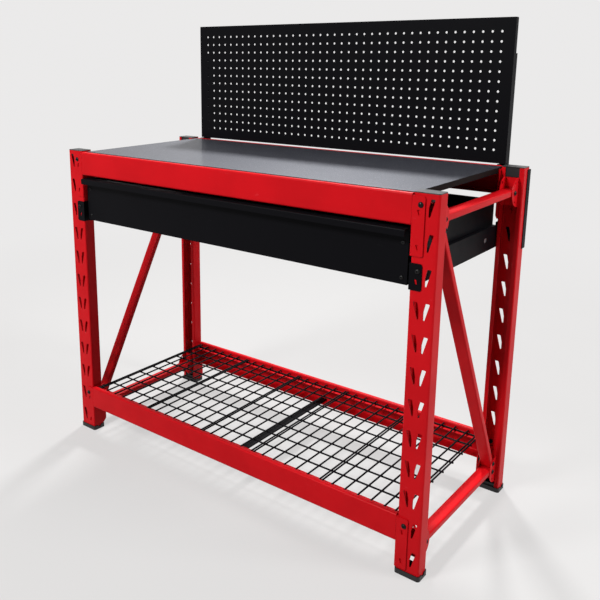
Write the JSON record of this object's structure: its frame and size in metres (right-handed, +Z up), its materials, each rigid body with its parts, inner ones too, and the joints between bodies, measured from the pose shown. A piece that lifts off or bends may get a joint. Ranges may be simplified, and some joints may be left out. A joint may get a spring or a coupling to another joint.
{
  "type": "workbench",
  "caption": "Bolted steel workbench with slotted posts, stepped beams, worktop, wire shelf, a full-width pull-out drawer and a perforated tool board at the back.",
  "frame": {"origin": "on the floor, at the middle of the bench's outer box in plan", "axes": "+X towards the user's right, -Y towards the user, the way the drawer opens, +Z up"},
  "size_m": [1.2246, 0.5674, 1.293],
  "materials": {
    "red_steel": "semi-gloss red powder coat",
    "black_steel": "satin black powder coat",
    "black_wire": "satin black powder coat on welded wire",
    "black_bolt": "black plated steel",
    "black_plastic": "matte moulded plastic",
    "laminate": "dark speckled laminate on a pressed wood core",
    "zinc_steel": "zinc plated"
  },
  "bodies": {
    "frame": {"post_front_left": "red_steel", "post_front_right": "red_steel", "post_rear_left": "red_steel", "post_rear_right": "red_steel", "foot_front_left": "black_plastic", "foot_front_right": "black_plastic", "foot_rear_left": "black_plastic", "foot_rear_right": "black_plastic", "post_caps": "black_plastic", "beam_front_upper": "red_steel", "beam_front_lower": "red_steel", "beam_rear_upper": "red_steel", "beam_rear_lower": "red_steel", "connector_front_upper_left": "red_steel", "connector_front_upper_right": "red_steel", "connector_front_lower_left": "red_steel", "connector_front_lower_right": "red_steel", "connector_rear_upper_left": "red_steel", "connector_rear_upper_right": "red_steel", "connector_rear_lower_left": "red_steel", "connector_rear_lower_right": "red_steel", "beam_bolts": "black_bolt", "brace_upper_left": "red_steel", "brace_upper_right": "red_steel", "brace_lower_left": "red_steel", "brace_lower_right": "red_steel", "diagonal_left": "red_steel", "diagonal_right": "red_steel", "brace_forks_left": "red_steel", "brace_forks_right": "red_steel", "brace_bolts": "black_bolt", "worktop": "laminate", "shelf_long_wires": "black_wire", "shelf_cross_wires": "black_wire", "shelf_bar": "black_wire", "drawer_rail_left": "black_steel", "drawer_rail_right": "black_steel", "rail_bolts": "black_bolt", "slide_outer_left": "zinc_steel", "slide_outer_right": "zinc_steel", "tool_board": "black_steel", "board_edges": "black_steel", "board_upright_left": "black_steel", "board_upright_right": "black_steel", "board_screws": "black_bolt"},
    "drawer": {"drawer_front": "black_steel", "drawer_pull": "black_steel", "drawer_side_left": "black_steel", "drawer_side_right": "black_steel", "drawer_back": "black_steel", "drawer_bottom": "black_steel", "drawer_bolts": "black_bolt", "slide_inner_left": "zinc_steel", "slide_inner_right": "zinc_steel"},
    "slide_left": {"slide_middle_left": "zinc_steel"},
    "slide_right": {"slide_middle_right": "zinc_steel"}
  },
  "joints": [
    {"name": "drawer_slide", "type": "slide", "parent": "frame", "child": "drawer", "axis": [0, -1, 0], "range_m": [0, 0.4]},
    {"name": "slide_left_run", "type": "slide", "parent": "frame", "child": "slide_left", "axis": [0, -1, 0], "range_m": [0, 0.2]},
    {"name": "slide_right_run", "type": "slide", "parent": "frame", "child": "slide_right", "axis": [0, -1, 0], "range_m": [0, 0.2]}
  ],
  "couplings": [
    {"joint": "slide_left_run", "follows": "drawer_slide", "ratio": 0.5},
    {"joint": "slide_right_run", "follows": "drawer_slide", "ratio": 0.5}
  ]
}
